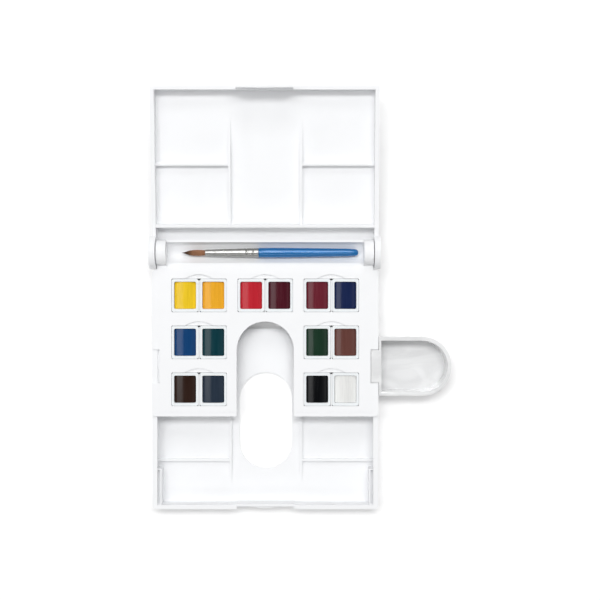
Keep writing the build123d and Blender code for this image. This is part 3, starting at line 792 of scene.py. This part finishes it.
class PAINTSET_OT_hair(bpy.types.Operator):
    """Round tuft of fine hairs that lean in to one point"""

    bl_idname = "paint_set.hair"
    bl_label = "Brush hair"

    def execute(self, context):
        settings = context.scene.paint_set_brush
        axis_frame = brush_axis()
        root = -FERRULE_REACH * MM
        length = HAIR_LENGTH * MM
        chance = random.Random(HAIR_SEED)
        golden = math.pi * (3 - math.sqrt(5))
        curve = bpy.data.curves.new("brush_hair", "CURVE")
        curve.dimensions = "3D"
        curve.bevel_depth = settings.hair_width / 2
        curve.bevel_resolution = 0
        curve.use_fill_caps = True
        for index in range(settings.hairs):
            ring = math.sqrt((index + 0.5) / settings.hairs)
            angle = index * golden
            reach = 1.0 - HAIR_ROUNDING * ring**2 - HAIR_RAGGEDNESS * chance.random() ** 3
            bend = Vector((chance.uniform(-1, 1), chance.uniform(-1, 1))) * HAIR_BEND * MM
            strand = curve.splines.new("POLY")
            strand.points.add(len(HAIR_STATIONS) - 1)
            for point, (share, spread) in zip(strand.points, HAIR_STATIONS):
                across = ring * HAIR_BELLY * MM * spread
                sway = math.sin(share * 3.0) * (1 - ring)
                place = Vector((
                    root - share * reach * length,
                    across * math.cos(angle) + bend.x * sway,
                    across * math.sin(angle) + bend.y * sway,
                ))
                point.co = (*(axis_frame @ place), 1)
                point.radius = min(1.0, max(HAIR_TIP_WIDTH, 1.0 - (share - HAIR_TAPER_START) * HAIR_TAPER))
        source = bpy.data.objects.new("brush_hair_lines", curve)
        mesh = bpy.data.meshes.new_from_object(source)
        mesh.name = "brush_hair"
        bpy.data.objects.remove(source)
        for face in mesh.polygons:
            face.use_smooth = True
        material = brush_hair_material(
            "Brush hair", settings.root_colour, settings.tip_colour,
            (axis_frame @ Vector((root, 0, 0))).x, (axis_frame @ Vector((root - length, 0, 0))).x,
        )
        link_piece("brush_hair", mesh, material, "brush", "brush_hair", "brush_tuft")
        return {"FINISHED"}


# Stage

def soft_light(name, place, size, power):
    """A rectangular softbox that faces the box."""
    lamp = bpy.data.lights.new(name, "AREA")
    lamp.shape = "RECTANGLE"
    lamp.size, lamp.size_y = size
    lamp.energy = power
    holder = bpy.data.objects.new(name, lamp)
    holder.location = place
    holder.rotation_euler = (Vector(LAMP_AIM) - Vector(place)).to_track_quat("-Z", "Y").to_euler()
    bpy.context.scene.collection.objects.link(holder)


def studio_floor_material():
    """Pale tabletop that shows white to the camera and keeps the box's shadow."""
    material, tree, shader, _ = new_material("Studio table")
    link = tree.links.new
    path = add_node(tree, "ShaderNodeLightPath")
    seen = add_node(tree, "ShaderNodeMath", operation="MAXIMUM")
    seen_too = add_node(tree, "ShaderNodeMath", operation="MAXIMUM")
    glow = add_node(tree, "ShaderNodeMath", {1: TABLE_GLOW}, operation="MULTIPLY")
    link(path.outputs["Is Camera Ray"], seen.inputs[0])
    link(path.outputs["Is Glossy Ray"], seen.inputs[1])
    link(seen.outputs[0], seen_too.inputs[0])
    link(path.outputs["Is Transmission Ray"], seen_too.inputs[1])
    link(seen_too.outputs[0], glow.inputs[0])
    link(glow.outputs[0], shader.inputs["Emission Strength"])
    set_inputs(shader, {
        "Emission Color": (1, 1, 1, 1), "Base Color": (0.97, 0.97, 0.97, 1), "Roughness": 0.9,
        "Specular IOR Level": 0.1,
    })
    return material


def studio_world(strength):
    """Pale studio walls, darker straight above where the camera hangs."""
    world = bpy.data.worlds.new("Studio")
    world.use_nodes = True
    tree = world.node_tree
    link = tree.links.new
    background = tree.nodes["Background"]
    place = add_node(tree, "ShaderNodeTexCoord")
    parts = add_node(tree, "ShaderNodeSeparateXYZ")
    walls = add_node(
        tree, "ShaderNodeMapRange",
        {"From Min": 0.86, "From Max": 0.97, "To Min": strength, "To Max": 0.12 * strength},
    )
    path = add_node(tree, "ShaderNodeLightPath")
    shown = add_node(tree, "ShaderNodeMix", {"B": 1.0}, data_type="FLOAT")
    link(place.outputs["Generated"], parts.inputs[0])
    link(parts.outputs["Z"], walls.inputs["Value"])
    link(walls.outputs[0], shown.inputs["A"])
    link(path.outputs["Is Camera Ray"], shown.inputs["Factor"])
    link(shown.outputs["Result"], background.inputs["Strength"])
    background.inputs["Color"].default_value = (1, 1, 1, 1)
    bpy.context.scene.world = world


class PAINTSET_OT_stage(bpy.types.Operator):
    """Table, softboxes, studio walls and the camera straight above"""

    bl_idname = "paint_set.stage"
    bl_label = "Stage"

    def execute(self, context):
        settings = context.scene.paint_set_stage
        form = bmesh.new()
        bmesh.ops.create_grid(form, x_segments=1, y_segments=1, size=TABLE_HALF_WIDTH)
        bmesh.ops.translate(form, vec=(0, 0, -TABLE_DROP), verts=form.verts)
        table = finished_mesh("studio_table", form)
        table.materials.append(studio_floor_material())
        floor = bpy.data.objects.new("studio_table", table)
        context.scene.collection.objects.link(floor)
        for name, place, size, setting, share in LAMPS:
            soft_light(name, place, size, share * getattr(settings, setting))
        studio_world(settings.ambient)
        lens = bpy.data.cameras.new("photo_camera")
        lens.sensor_width = 36.0
        lens.lens = settings.lens
        camera = bpy.data.objects.new("photo_camera", lens)
        camera.location = (CAMERA_X, CAMERA_Y, settings.camera_height)
        context.scene.collection.objects.link(camera)
        context.scene.camera = camera
        context.scene.view_settings.view_transform = "Standard"
        return {"FINISHED"}


class PAINTSET_PT_panel(bpy.types.Panel):
    """Sizes, colours and pieces of the paint set"""

    bl_idname = "PAINTSET_PT_panel"
    bl_label = "Paint Set"
    bl_space_type = "VIEW_3D"
    bl_region_type = "UI"
    bl_category = "Paint Set"

    def draw(self, context):
        scene = context.scene
        for settings in (scene.paint_set_plastic, scene.paint_set_paint, scene.paint_set_brush, scene.paint_set_stage):
            column = self.layout.column(align=True)
            for name in settings.bl_rna.properties.keys():
                if name not in ("rna_type", "name"):
                    column.prop(settings, name)
        for operator in OPERATORS:
            self.layout.operator(operator.bl_idname)


OPERATORS = (
    PAINTSET_OT_box,
    PAINTSET_OT_dish,
    PAINTSET_OT_half_pans,
    PAINTSET_OT_cakes,
    PAINTSET_OT_ferrule,
    PAINTSET_OT_handle,
    PAINTSET_OT_hair,
    PAINTSET_OT_stage,
)
SETTINGS = (
    ("paint_set_plastic", PlasticSettings),
    ("paint_set_paint", PaintSettings),
    ("paint_set_brush", BrushSettings),
    ("paint_set_stage", StageSettings),
)


def register():
    for name, settings in SETTINGS:
        bpy.utils.register_class(settings)
        setattr(bpy.types.Scene, name, PointerProperty(type=settings))
    for operator in OPERATORS:
        bpy.utils.register_class(operator)
    bpy.utils.register_class(PAINTSET_PT_panel)


def unregister():
    bpy.utils.unregister_class(PAINTSET_PT_panel)
    for operator in reversed(OPERATORS):
        bpy.utils.unregister_class(operator)
    for name, settings in reversed(SETTINGS):
        delattr(bpy.types.Scene, name)
        bpy.utils.unregister_class(settings)


def main():
    """Builds every piece and the stage."""
    register()
    bpy.ops.paint_set.box()
    bpy.ops.paint_set.dish()
    bpy.ops.paint_set.half_pans()
    bpy.ops.paint_set.cakes()
    bpy.ops.paint_set.ferrule()
    bpy.ops.paint_set.handle()
    bpy.ops.paint_set.hair()
    bpy.ops.paint_set.stage()


if __name__ == "__main__":
    main()
